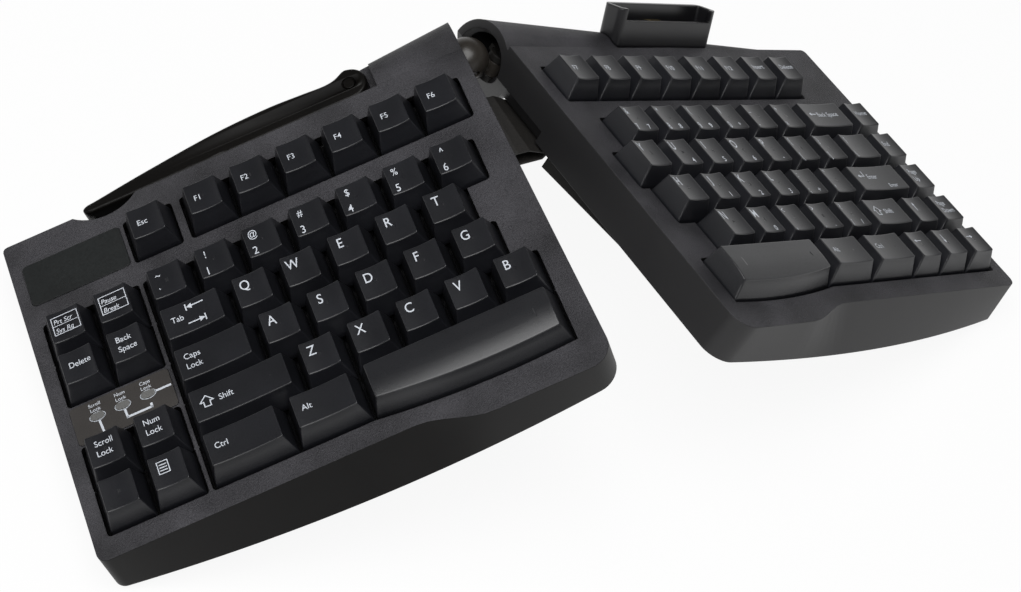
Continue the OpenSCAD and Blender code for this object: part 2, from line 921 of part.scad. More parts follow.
// The hood leans to the rear, and its foot is shaped to the barrel
reader_front = rear_y + 1.1;
hood_foot = 1;
slot_floor = 4.5;
column_w = 3.5;
module reader_place() {
    translate([reader_x + reader_w / 2, reader_front, top_z + crest / 2])
        rotate([-reader_lean, 0, 0])
            translate([0, reader_d / 2, 0])
                children();
}

module card_reader_hood() {
    color([0.1, 0.1, 0.12])
        right_half()
            difference() {
                reader_place()
                    difference() {
                        translate([0, 0, -hood_foot])
                            linear_extrude(reader_h + hood_foot)
                                hood_plan(0);
                        translate([0, 0, slot_floor])
                            linear_extrude(reader_h)
                                hood_plan(hood_wall);
                        translate([-reader_w / 2 + column_w, -reader_d, lip_h])
                            cube([reader_w - 2 * column_w, reader_d, reader_h]);
                    }
                barrel(1, -fit);
            }
}

module card_contacts() {
    color([0.8, 0.65, 0.3])
        right_half()
            reader_place()
                for (i = [0:3])
                    translate([i * 2.54 - 4.6, reader_d / 2 - hood_wall - 0.6, slot_floor])
                        cube([1.6, 0.6, 4]);
}

// A hollow cap with its plunger; the dish runs front to rear
module cap(w) {
    base = w * pitch - cap_gap;
    depth = pitch - cap_gap;
    width = base - cap_taper;
    dish_r = width * width / (8 * dish) + dish / 2;
    difference() {
        cap_form(base, depth, 0);
        cap_form(base, depth, cap_wall);
        translate([0, 0, cap_h - dish + dish_r])
            rotate([90, 0, 0])
                cylinder(h = 60, r = dish_r, center = true, $fn = 360);
    }
    plunger(cap_h - cap_wall - dish);
}

module plunger(ceiling) {
    root = 0.3;
    translate([0, 0, plunger_z - skirt_z])
        cylinder(h = ceiling + root + skirt_z - plunger_z, r = plunger_r);
}

module cap_form(base, depth, inset) {
    low = inset > 0 ? -1 : 0;
    high = cap_h - (inset > 0 ? inset + dish : 0);
    side = cap_taper / 2 / cap_h;
    front = cap_front / cap_h;
    rear = cap_rear / cap_h;
    half = base / 2 - inset;
    deep = depth / 2 - inset;
    intersection() {
        rotate([90, 0, 0])
            linear_extrude(depth * 2, center = true)
                polygon([[-half + side * low, low], [half - side * low, low], [half - side * high, high],
                         [-half + side * high, high]]);
        rotate([90, 0, 90])
            linear_extrude(base * 2, center = true)
                polygon([[-deep + front * low, low], [deep - rear * low, low], [deep - rear * high, high],
                         [-deep + front * high, high]]);
    }
}

// A space bar: its front bows out, most near the middle edge, and its top is rolled
module space_cap(w) {
    difference() {
        space_form(w, 0);
        space_form(w, cap_wall);
    }
    plunger(cap_h - cap_wall);
}

module space_form(w, inset) {
    low = inset > 0 ? -1 : 0;
    half = (w * pitch - cap_gap) / 2 - inset;
    deep = (pitch - cap_gap) / 2 - inset;
    side = cap_taper / 2 / cap_h;
    high = cap_h - inset;
    front = -deep - space_bow - 1;
    intersection() {
        translate([0, 0, low])
            linear_extrude(cap_h + 2)
                space_plan(half, deep, deep);
        rotate([90, 0, 0])
            linear_extrude(pitch * 3, center = true)
                polygon([[-half + side * low, low], [half - side * low, low], [half - side * high, high],
                         [-half + side * high, high]]);
        rotate([90, 0, 90])
            linear_extrude(w * pitch * 2, center = true)
                polygon(concat([[front, low]],
                               [for (i = [0:8]) [front + i * 2, high - roll * pow(1 - i / 8, 2)]],
                               [[deep - cap_rear, high], [deep, low]]));
    }
}

// How far the front of a space bar bows out, from its outer end at 0 to its inner end at 1
function bow_at(t) = space_bow * (3.03 * t - 2.28 * t * t);
module space_plan(half, front, rear) {
    polygon(concat([for (i = [0:16]) [half - half * i / 8, -front - bow_at(i / 16)]],
                   [[-half, rear], [half, rear]]));
}

module keys_on(keys, left) {
    for (k = keys)
        translate([key_x(k[0] + k[1] / 2, left), row_y(k[2]), skirt_z])
            if (k[1] > 3)
                space_cap(k[1]);
            else
                cap(k[1]);
}

module left_caps(keys) {
    color([0.13, 0.13, 0.15])
        left_half()
            keys_on(keys, true);
}

module right_caps(keys) {
    color([0.13, 0.13, 0.15])
        right_half()
            keys_on(keys, false);
}

// Places: the left half, the ball, and the right half that turns on the ball's tang
module left_half() {
    translate(ball_pos)
        rotate([0, 0, -splay])
            rotate([0, -left_tent, 0])
                mirror([1, 0, 0])
                    translate([ball_out, 0, 0])
                        children();
}

module pivot() {
    translate(ball_pos)
        rotate([0, 0, splay])
            rotate([0, right_tent, 0])
                rotate([0, 0, -fold])
                    children();
}

module right_half() {
    pivot()
        translate([neck_len, 0, 0])
            rotate([0, 0, fold])
                translate([-pin_in, 0, 0])
                    children();
}

left_top_cover();
left_bottom_cover();
left_guide_plate();
left_dome_sheet();
left_membrane();
left_back_plate();
left_feet();
left_screws();
badge_plate();
indicator_panel();
indicator_lights();
ball_cup();
draw_bar();
lock_lever();
cam_shaft();
pivot_ball();
tent_pin();
cable_boot();
right_top_cover();
right_bottom_cover();
right_guide_plate();
right_dome_sheet();
right_membrane();
right_back_plate();
right_feet();
right_screws();
ball_fork();
splay_pin();
card_reader_hood();
card_contacts();
controller_board();
left_caps(esc_keys);  // key_esc
left_caps(f_left_keys);  // keys_f1_to_f6
left_caps(number_left_keys);  // keys_number_left
left_caps(tab_keys);  // key_tab
left_caps(q_keys);  // keys_q_to_t
left_caps(caps_keys);  // key_caps_lock
left_caps(a_keys);  // keys_a_to_g
left_caps(left_shift_keys);  // key_left_shift
left_caps(z_keys);  // keys_z_to_b
left_caps(left_ctrl_keys);  // key_left_ctrl
left_caps(left_alt_keys);  // key_left_alt
left_caps(left_space_keys);  // key_left_space
left_caps(edit_upper_keys);  // keys_edit_upper
left_caps(edit_lower_keys);  // keys_edit_lower
right_caps(f_right_keys);  // keys_f7_to_del
right_caps(number_right_keys);  // keys_number_right
right_caps(backspace_keys);  // key_backspace
right_caps(y_keys);  // keys_y_to_bracket
right_caps(backslash_keys);  // key_backslash
right_caps(h_keys);  // keys_h_to_quote
right_caps(enter_keys);  // key_enter
right_caps(n_keys);  // keys_n_to_slash
right_caps(right_shift_keys);  // key_right_shift
right_caps(navigation_keys);  // keys_navigation
right_caps(arrow_keys);  // keys_arrow
right_caps(right_space_keys);  // key_right_space
right_caps(right_alt_keys);  // key_right_alt
right_caps(right_ctrl_keys);  // key_right_ctrl
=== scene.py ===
import math
import bpy
import numpy as np
from mathutils import Matrix, Vector
from mathutils.geometry import tessellate_polygon


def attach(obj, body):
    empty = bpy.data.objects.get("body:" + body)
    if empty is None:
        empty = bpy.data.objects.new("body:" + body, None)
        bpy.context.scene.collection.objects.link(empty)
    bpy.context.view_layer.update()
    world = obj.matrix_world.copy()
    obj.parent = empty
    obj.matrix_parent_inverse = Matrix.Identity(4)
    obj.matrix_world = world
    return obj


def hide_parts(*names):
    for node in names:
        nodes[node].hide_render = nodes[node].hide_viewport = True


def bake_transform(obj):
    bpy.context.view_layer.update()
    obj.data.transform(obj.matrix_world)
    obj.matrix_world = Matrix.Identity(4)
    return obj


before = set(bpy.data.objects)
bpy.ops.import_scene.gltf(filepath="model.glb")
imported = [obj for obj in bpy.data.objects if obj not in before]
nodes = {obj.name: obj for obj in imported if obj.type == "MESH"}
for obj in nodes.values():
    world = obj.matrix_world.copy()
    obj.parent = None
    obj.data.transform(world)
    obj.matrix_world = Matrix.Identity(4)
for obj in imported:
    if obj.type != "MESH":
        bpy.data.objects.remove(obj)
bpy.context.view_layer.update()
print("frame loaded")

# Places of the two halves, from the driving values of the part's source: degrees and millimetres.
poseSet = {"tentLeft": 24.374, "tentRight": 23.626, "splay": 7.0, "fold": 15.3095,
           "ball": (-3.143, 68.064, 83.346), "neck": 13.0, "pinIn": 6.3, "ballOut": 0.7}
perMetre = 1000


def turnY(deg):
    c, s = math.cos(math.radians(deg)), math.sin(math.radians(deg))
    return np.array([[c, 0, s], [0, 1, 0], [-s, 0, c]])


def turnZ(deg):
    c, s = math.cos(math.radians(deg)), math.sin(math.radians(deg))
    return np.array([[c, -s, 0], [s, c, 0], [0, 0, 1]])


def alongX(length):
    return np.array([length, 0, 0])


ballAt = np.array(poseSet["ball"])
halfAxes = {"left": turnZ(-poseSet["splay"]) @ turnY(-poseSet["tentLeft"]),
            "right": turnZ(poseSet["splay"]) @ turnY(poseSet["tentRight"])}
neckEnd = ballAt + halfAxes["right"] @ turnZ(-poseSet["fold"]) @ alongX(poseSet["neck"])
halfOrigin = {"left": ballAt - halfAxes["left"] @ alongX(poseSet["ballOut"]),
              "right": neckEnd - halfAxes["right"] @ alongX(poseSet["pinIn"])}


# Points of a half, with x to the keyboard's right from the half's middle edge, become world metres.
def place(points, half):
    return (halfOrigin[half] + np.asarray(points, float) @ halfAxes[half].T) / perMetre


def addMesh(name, verts, faces, material, smooth=True):
    mesh = bpy.data.meshes.new(name)
    mesh.from_pydata(np.asarray(verts).tolist(), [], faces)
    mesh.polygons.foreach_set("use_smooth", np.full(len(mesh.polygons), smooth))
    mesh.materials.append(material)
    mesh.update()
    obj = bpy.data.objects.new(name, mesh)
    bpy.context.collection.objects.link(obj)
    return obj


# Quads between rings of equal length, closed round each ring.
def ringFaces(rings, count, start=0):
    i, j = np.meshgrid(np.arange(rings - 1), np.arange(count), indexing="ij")
    a = start + i * count + j
    b = start + i * count + (j + 1) % count
    return np.stack([a, b, b + count, a + count], -1).reshape(-1, 4).tolist()


# A flat loop of points at one height.
def atHeight(loop, z):
    return np.column_stack([loop, np.full(len(loop), z)])


# Flat shapes, each of points and faces, as one list of points and one of faces.
def joinShapes(shapes):
    pts, faces, count = [], [], 0
    for p, f in shapes:
        pts.append(p)
        faces += [[i + count for i in face] for face in f]
        count += len(p)
    return np.concatenate(pts), faces


# Node helpers
def addNode(tree, kind, **values):
    node = tree.nodes.new(kind)
    for key, value in values.items():
        setattr(node, key, value)
    return node


def setInput(node, name, value):
    node.inputs[name].default_value = value


# Shared effect: fine moulded grain; noise in object space drives a small bump on rounded edges.
grainSet = {"detail": 3.0, "rough": 0.6, "cloudScale": 45.0, "cloudDetail": 2.0,
            "samples": 6, "height": 0.0006}


def grainGroup():
    group = bpy.data.node_groups.new("mouldedGrain", "ShaderNodeTree")
    for name in ("Scale", "Strength", "Edge"):
        group.interface.new_socket(name, in_out="INPUT", socket_type="NodeSocketFloat")
    for name, kind in (("Normal", "Vector"), ("Speck", "Float"), ("Cloud", "Float")):
        group.interface.new_socket(name, in_out="OUTPUT", socket_type="NodeSocket" + kind)
    start = addNode(group, "NodeGroupInput")
    end = addNode(group, "NodeGroupOutput")
    coords = addNode(group, "ShaderNodeTexCoord")
    noise = addNode(group, "ShaderNodeTexNoise")
    setInput(noise, "Detail", grainSet["detail"])
    setInput(noise, "Roughness", grainSet["rough"])
    group.links.new(coords.outputs["Object"], noise.inputs["Vector"])
    group.links.new(start.outputs["Scale"], noise.inputs["Scale"])
    cloud = addNode(group, "ShaderNodeTexNoise")
    setInput(cloud, "Scale", grainSet["cloudScale"])
    setInput(cloud, "Detail", grainSet["cloudDetail"])
    group.links.new(coords.outputs["Object"], cloud.inputs["Vector"])
    bevel = addNode(group, "ShaderNodeBevel", samples=grainSet["samples"])
    group.links.new(start.outputs["Edge"], bevel.inputs["Radius"])
    bump = addNode(group, "ShaderNodeBump")
    setInput(bump, "Distance", grainSet["height"])
    group.links.new(start.outputs["Strength"], bump.inputs["Strength"])
    group.links.new(noise.outputs["Fac"], bump.inputs["Height"])
    group.links.new(bevel.outputs["Normal"], bump.inputs["Normal"])
    group.links.new(bump.outputs["Normal"], end.inputs["Normal"])
    group.links.new(noise.outputs["Fac"], end.inputs["Speck"])
    group.links.new(cloud.outputs["Fac"], end.inputs["Cloud"])
    return group


grain = grainGroup()


def addGrain(tree, shader, look):
    effect = addNode(tree, "ShaderNodeGroup", node_tree=grain)
    for name, key in (("Scale", "scale"), ("Strength", "bump"), ("Edge", "edge")):
        setInput(effect, name, look[key])
    tree.links.new(effect.outputs["Normal"], shader.inputs["Normal"])
    return effect


def addColour(tree, shader, look, factor):
    colour = addNode(tree, "ShaderNodeMix", data_type="RGBA")
    colour.inputs["A"].default_value = (*look["dark"], 1)
    colour.inputs["B"].default_value = (*look["pale"], 1)
    tree.links.new(factor, colour.inputs["Factor"])
    tree.links.new(colour.outputs["Result"], shader.inputs["Base Color"])


# A moulded plastic: base colour varied by cloud and speck, roughness varied by speck.
plasticSet = {"mixFrom": 0.1, "mixTo": 0.4, "roughSpan": 0.05, "shine": 0.5}


def plastic(name, look):
    mat = bpy.data.materials.new(name)
    mat.use_nodes = True
    tree = mat.node_tree
    shader = tree.nodes["Principled BSDF"]
    effect = addGrain(tree, shader, look)
    both = addNode(tree, "ShaderNodeMath", operation="MULTIPLY")
    tree.links.new(effect.outputs["Cloud"], both.inputs[0])
    tree.links.new(effect.outputs["Speck"], both.inputs[1])
    spread = addNode(tree, "ShaderNodeMapRange")
    setInput(spread, "From Min", plasticSet["mixFrom"])
    setInput(spread, "From Max", plasticSet["mixTo"])
    tree.links.new(both.outputs["Value"], spread.inputs["Value"])
    addColour(tree, shader, look, spread.outputs["Result"])
    rough = addNode(tree, "ShaderNodeMapRange")
    setInput(rough, "To Min", look["rough"] - plasticSet["roughSpan"])
    setInput(rough, "To Max", look["rough"] + plasticSet["roughSpan"])
    tree.links.new(effect.outputs["Speck"], rough.inputs["Value"])
    tree.links.new(rough.outputs["Result"], shader.inputs["Roughness"])
    setInput(shader, "Specular IOR Level", look.get("shine", plasticSet["shine"]))
    setInput(shader, "Metallic", look.get("metal", 0.0))
    return mat


finishSet = {
    "keyPlastic": {"dark": (0.006, 0.0063, 0.008), "pale": (0.0125, 0.013, 0.016),
                   "scale": 2600.0, "bump": 0.06, "edge": 0.0002, "rough": 0.32},
    "spacePlastic": {"dark": (0.009, 0.0093, 0.011), "pale": (0.015, 0.0155, 0.018),
                     "scale": 3000.0, "bump": 0.03, "edge": 0.0002, "rough": 0.29},
    "leverPlastic": {"dark": (0.0025, 0.0022, 0.002), "pale": (0.005, 0.0044, 0.0039),
                     "scale": 2000.0, "bump": 0.05, "edge": 0.0005, "rough": 0.36, "shine": 0.15},
    "basePlastic": {"dark": (0.006, 0.0055, 0.005), "pale": (0.011, 0.010, 0.009),
                    "scale": 2000.0, "bump": 0.08, "edge": 0.0005, "rough": 0.5, "shine": 0.3},
    "hoodPlastic": {"dark": (0.005, 0.005, 0.006), "pale": (0.010, 0.0098, 0.011),
                    "scale": 2200.0, "bump": 0.04, "edge": 0.0012, "rough": 0.3},
    "ballGloss": {"dark": (0.018, 0.0155, 0.013), "pale": (0.032, 0.0275, 0.023),
                  "scale": 1500.0, "bump": 0.02, "edge": 0.0002, "rough": 0.34},
    "badgeGloss": {"dark": (0.007, 0.008, 0.008), "pale": (0.012, 0.0138, 0.0138),
                   "scale": 900.0, "bump": 0.02, "edge": 0.0002, "rough": 0.38},
    "panelFilm": {"dark": (0.03, 0.027, 0.025), "pale": (0.045, 0.041, 0.038),
                  "scale": 2200.0, "bump": 0.1, "edge": 0.0002, "rough": 0.4},
    "lightLens": {"dark": (0.10, 0.10, 0.098), "pale": (0.17, 0.17, 0.165),
                  "scale": 2200.0, "bump": 0.03, "edge": 0.0002, "rough": 0.2},
    "softRubber": {"dark": (0.004, 0.0034, 0.0028), "pale": (0.011, 0.0093, 0.0075),
                   "scale": 1200.0, "bump": 0.2, "edge": 0.0008, "rough": 0.65},
    "platedSteel": {"dark": (0.42, 0.42, 0.43), "pale": (0.6, 0.6, 0.62),
                    "scale": 2500.0, "bump": 0.05, "edge": 0.0002, "rough": 0.3, "metal": 1.0},
    "goldContact": {"dark": (0.55, 0.4, 0.14), "pale": (0.75, 0.58, 0.25),
                    "scale": 2500.0, "bump": 0.05, "edge": 0.0001, "rough": 0.25, "metal": 1.0},
    # Guide plates: their dark plastic, painted darker still as shade in the gaps between keys.
    "guidePlasticAndGapShade": {"dark": (0.0015, 0.0015, 0.0018), "pale": (0.003, 0.003, 0.0034),
                     "scale": 1500.0, "bump": 0.05, "edge": 0.0002, "rough": 0.7, "shine": 0.15},
    "domeSilicone": {"dark": (0.5, 0.52, 0.5), "pale": (0.6, 0.62, 0.6),
                     "scale": 1500.0, "bump": 0.05, "edge": 0.0002, "rough": 0.45},
    "printedFilm": {"dark": (0.3, 0.42, 0.38), "pale": (0.36, 0.48, 0.44),
                    "scale": 1500.0, "bump": 0.02, "edge": 0.0001, "rough": 0.25},
    "circuitBoard": {"dark": (0.01, 0.1, 0.05), "pale": (0.015, 0.14, 0.07),
                     "scale": 1500.0, "bump": 0.05, "edge": 0.0001, "rough": 0.3},
    "paleInk": {"dark": (0.5, 0.53, 0.58), "pale": (0.62, 0.65, 0.7),
                "scale": 3000.0, "bump": 0.05, "edge": 0.0001, "rough": 0.6}}
finishes = {name: plastic(name, look) for name, look in finishSet.items()}

# Covers are grained where they face along the half's own normal, and smoother on the walls.
# The walls' colour and shine hold painted light: darker, duller walls on the left half as painted shade,
# paler, shinier walls on the right half.
coverSet = {"top": {"dark": (0.008, 0.0077, 0.0098), "pale": (0.054, 0.0525, 0.0595),
                    "scale": 1900.0, "bump": 0.8, "edge": 0.0006, "rough": 0.56, "shine": 0.4},
            "left": {"dark": (0.004, 0.0038, 0.0038), "pale": (0.007, 0.0066, 0.0064),
                     "scale": 2400.0, "bump": 0.06, "edge": 0.0006, "rough": 0.45, "shine": 0.15},
            "right": {"dark": (0.009, 0.0088, 0.0095), "pale": (0.015, 0.0147, 0.0155),
                      "scale": 2400.0, "bump": 0.06, "edge": 0.0006, "rough": 0.5, "shine": 0.45},
            "wallBelow": 0.55, "topAbove": 0.95}


def coverPlastic(name, half):
    mat = plastic(name, coverSet["top"])
    # This half's wall look: painted shade on the left half, painted light on the right half.
    wallWithPaintedLight = coverSet[half]
    tree = mat.node_tree
    smooth = addNode(tree, "ShaderNodeBsdfPrincipled")
    effect = addGrain(tree, smooth, wallWithPaintedLight)
    addColour(tree, smooth, wallWithPaintedLight, effect.outputs["Cloud"])
    setInput(smooth, "Roughness", wallWithPaintedLight["rough"])
    setInput(smooth, "Specular IOR Level", wallWithPaintedLight["shine"])
    coords = addNode(tree, "ShaderNodeTexCoord")
    facing = addNode(tree, "ShaderNodeVectorMath", operation="DOT_PRODUCT")
    facing.inputs[1].default_value = halfAxes[half][:, 2].tolist()
    tree.links.new(coords.outputs["Normal"], facing.inputs[0])
    ramp = addNode(tree, "ShaderNodeMapRange")
    setInput(ramp, "From Min", coverSet["wallBelow"])
    setInput(ramp, "From Max", coverSet["topAbove"])
    tree.links.new(facing.outputs["Value"], ramp.inputs["Value"])
    mix = addNode(tree, "ShaderNodeMixShader")
    tree.links.new(ramp.outputs["Result"], mix.inputs["Fac"])
    tree.links.new(smooth.outputs["BSDF"], mix.inputs[1])
    tree.links.new(tree.nodes["Principled BSDF"].outputs["BSDF"], mix.inputs[2])
    tree.links.new(mix.outputs["Shader"], tree.nodes["Material Output"].inputs["Surface"])
    return mat


# The left cover's walls carry painted shade and the right cover's walls carry painted light.
finishes["leftCoverShadedWalls"] = coverPlastic("leftCoverShadedWalls", "left")
finishes["rightCoverLitWalls"] = coverPlastic("rightCoverLitWalls", "right")

# The CAD nodes that show as they are, by finish.
cadFinish = {
    "leftCoverShadedWalls": ["left_top_cover"],
    "rightCoverLitWalls": ["right_top_cover"],
    "hoodPlastic": ["card_reader_hood"],
    "basePlastic": ["left_bottom_cover", "right_bottom_cover", "ball_cup", "ball_fork"],
    "guidePlasticAndGapShade": ["left_guide_plate", "right_guide_plate"],
    "domeSilicone": ["left_dome_sheet", "right_dome_sheet"],
    "printedFilm": ["left_membrane", "right_membrane"],
    "platedSteel": ["left_back_plate", "right_back_plate", "left_screws", "right_screws",
                    "draw_bar", "tent_pin", "splay_pin"],
    "softRubber": ["left_feet", "right_feet", "cable_boot"],
    "badgeGloss": ["badge_plate"],
    "panelFilm": ["indicator_panel"],
    "lightLens": ["indicator_lights"],
    "leverPlastic": ["lock_lever", "cam_shaft"],
    "ballGloss": ["pivot_ball"],
    "goldContact": ["card_contacts"],
    "circuitBoard": ["controller_board"]}
for finish, names in cadFinish.items():
    for name in names:
        nodes[name].data.materials.clear()
        nodes[name].data.materials.append(finishes[finish])
print("materials set")

# Moulded shells: facets below the angle are shaded as one curve, and edges above it stay crisp.
shadeSet = {"angle": math.radians(24), "join": 0.000002,
            "nodes": ["left_top_cover", "right_top_cover", "left_bottom_cover", "right_bottom_cover",
                      "card_reader_hood", "pivot_ball"]}


def smoothGroup():
    group = bpy.data.node_groups.new("smoothShell", "GeometryNodeTree")
    for way in ("INPUT", "OUTPUT"):
        group.interface.new_socket("Geometry", in_out=way, socket_type="NodeSocketGeometry")
    start = addNode(group, "NodeGroupInput")
    end = addNode(group, "NodeGroupOutput")
    join = addNode(group, "GeometryNodeMergeByDistance")
    setInput(join, "Distance", shadeSet["join"])
    fold = addNode(group, "GeometryNodeInputMeshEdgeAngle")
    crisp = addNode(group, "FunctionNodeCompare", data_type="FLOAT", operation="GREATER_THAN")
    setInput(crisp, "B", shadeSet["angle"])
    shade = addNode(group, "GeometryNodeSetMeshNormal", mode="SHARPNESS")
    group.links.new(start.outputs["Geometry"], join.inputs["Geometry"])
    group.links.new(join.outputs["Geometry"], shade.inputs["Mesh"])
    group.links.new(fold.outputs["Unsigned Angle"], crisp.inputs["A"])
    group.links.new(crisp.outputs["Result"], shade.inputs["Edge Sharpness"])
    group.links.new(shade.outputs["Mesh"], end.inputs["Geometry"])
    return group


smoothShell = smoothGroup()
for name in shadeSet["nodes"]:
    nodes[name].modifiers.new("smooth", "NODES").node_group = smoothShell

# Key caps, in millimetres; places along a row are in key pitches from the row's start.
capSet = {"pitch": 19.05, "gap": 0.85, "height": 10.0, "taper": 5.5, "front": 3.6, "rear": 0.8, "dish": 0.7,
          "skirt": 13.0, "rim": 0.15, "skirtRings": [(0.9, 1.5), (0.9, 0.15), (0.15, 0.0)],
          "wallShares": (0.015, 0.25, 0.5, 0.75, 1.0), "edgeTurns": (15, 30, 45, 60, 75, 90),
          "topShares": np.array([0.06, 0.15, 0.3, 0.45, 0.6, 0.75, 0.9, 1.0]), "spine": 0.1,
          "round": 0.45, "cornerLow": 0.5, "cornerHigh": 0.7, "cornerLeast": 0.02, "cornerMost": (0.9, 0.45),
          "cornerPoints": 7, "edgePoints": 9,
          "spaceFrom": 3, "bow": 3.6, "bowRise": 3.03, "bowFall": 2.28, "roll": 2.4, "rollDepth": 14.0,
          "spaceDrop": 0.1,
          "functionRow": -27.625, "numberRow": -56.975, "zero": {"left": 143.8125, "right": 116.125},
          "blockGap": 2.5, "functionOne": 1.22, "navigationAt": 14.75}


# The middle of a key, with x to the right from the half's middle edge.
def keyCentre(u, w, row, half):
    y = capSet["functionRow"] if row == 0 else capSet["numberRow"] - (row - 1) * capSet["pitch"]
    return (u + w / 2) * capSet["pitch"] - capSet["zero"][half], y


def halfTopOf(w):
    return (w * capSet["pitch"] - capSet["gap"] - capSet["taper"]) / 2


# A closed rounded rectangle as points, counter-clockwise: an arc at each corner, then points along the side.
def roundedRing(x0, x1, y0, y1, r, edge):
    arcs = []
    corners = ((x1 - r, y0 + r, -90), (x1 - r, y1 - r, 0), (x0 + r, y1 - r, 90), (x0 + r, y0 + r, 180))
    for cx, cy, a0 in corners:
        a = np.radians(a0 + np.linspace(0, 90, capSet["cornerPoints"]))
        arcs.append(np.stack([cx + r * np.cos(a), cy + r * np.sin(a)], 1))
    t = np.linspace(0, 1, edge + 2)[1:-1, None]
    out = []
    for here, after in zip(arcs, arcs[1:] + arcs[:1]):
        out += [here, here[-1] + (after[0] - here[-1]) * t]
    return np.concatenate(out)


# How far the front of a space bar bows out, with t running from its outer end to its inner end.
def bowAt(t):
    return capSet["bow"] * (capSet["bowRise"] * t - capSet["bowFall"] * t * t)


# The top surface of a cap: a dish across x, or for a space bar a parabola that falls to the front.
def topHeight(x, y, halfTop, isSpace):
    if isSpace:
        deep = (capSet["pitch"] - capSet["gap"]) / 2
        t = np.clip((y + deep + capSet["bow"]) / capSet["rollDepth"], 0, 1)
        return capSet["height"] - capSet["spaceDrop"] - capSet["roll"] * (1 - t) ** 2
    return capSet["height"] - capSet["dish"] * (1 - np.clip(np.abs(x) / halfTop, 0, 1) ** 2)


# Rings from the skirt up the leaning walls, round the top edge, then inwards over the dish.
def capMesh(w, half):
    isSpace = w > capSet["spaceFrom"]
    wide, deep = (w * capSet["pitch"] - capSet["gap"]) / 2, (capSet["pitch"] - capSet["gap"]) / 2
    halfTop = halfTopOf(w)
    edge = capSet["edgePoints"] if w < 2 else int(capSet["edgePoints"] * w) // 2 * 2 + 1
    bend = capSet["round"]

    def ringAt(share, inset):
        r = capSet["cornerLow"] + (capSet["cornerHigh"] - capSet["cornerLow"]) * share - inset
        x = wide - capSet["taper"] / 2 * share - inset
        front = -deep + capSet["front"] * share + inset
        rear = deep - capSet["rear"] * share - inset
        mostX, mostY = capSet["cornerMost"]
        r = min(max(r, capSet["cornerLeast"]), mostY * (rear - front), mostX * x)
        p = roundedRing(-x, x, front, rear, r, edge)
        if isSpace:
            t = np.clip(0.5 + p[:, 0] / (2 * wide) * (1 if half == "left" else -1), 0, 1)
            p[:, 1] -= bowAt(t) * (rear - p[:, 1]) / (rear - front)
        return p

    def topAt(p):
        return topHeight(p[:, 0], p[:, 1], halfTop, isSpace)

    rings = [atHeight(ringAt(0, inset), z) for inset, z in capSet["skirtRings"]]
    for share in capSet["wallShares"]:
        p = ringAt(share, 0)
        rings.append(np.column_stack([p, (topAt(p) - bend) * share + capSet["rim"] * (1 - share)]))
    for a in np.radians(capSet["edgeTurns"]):
        p = ringAt(1.0, bend * (1 - math.cos(a)))
        rings.append(np.column_stack([p, topAt(p) - bend * (1 - math.sin(a))]))
    limit = min(halfTop, (2 * deep - capSet["front"] - capSet["rear"]) / 2) - capSet["spine"]
    for inset in bend + (limit - bend) * capSet["topShares"]:
        p = ringAt(1.0, inset)
        rings.append(np.column_stack([p, topAt(p)]))
    count = len(rings[0])
    faces = ringFaces(len(rings), count)
    last = (len(rings) - 1) * count
    # A strip between its front and rear fills the last narrow ring, from the middle of the right end.
    turn = capSet["cornerPoints"] + edge // 2
    for k in range(count // 2):
        strip = [turn - k - 1, turn - k, turn + k, turn + k + 1]
        faces.append([last + i for i in dict.fromkeys(i % count for i in strip)])
    return np.concatenate(rings), faces


def line(names, u, row, w=1.0):
    return [(name, u + i * w, w, row) for i, name in enumerate(names)]


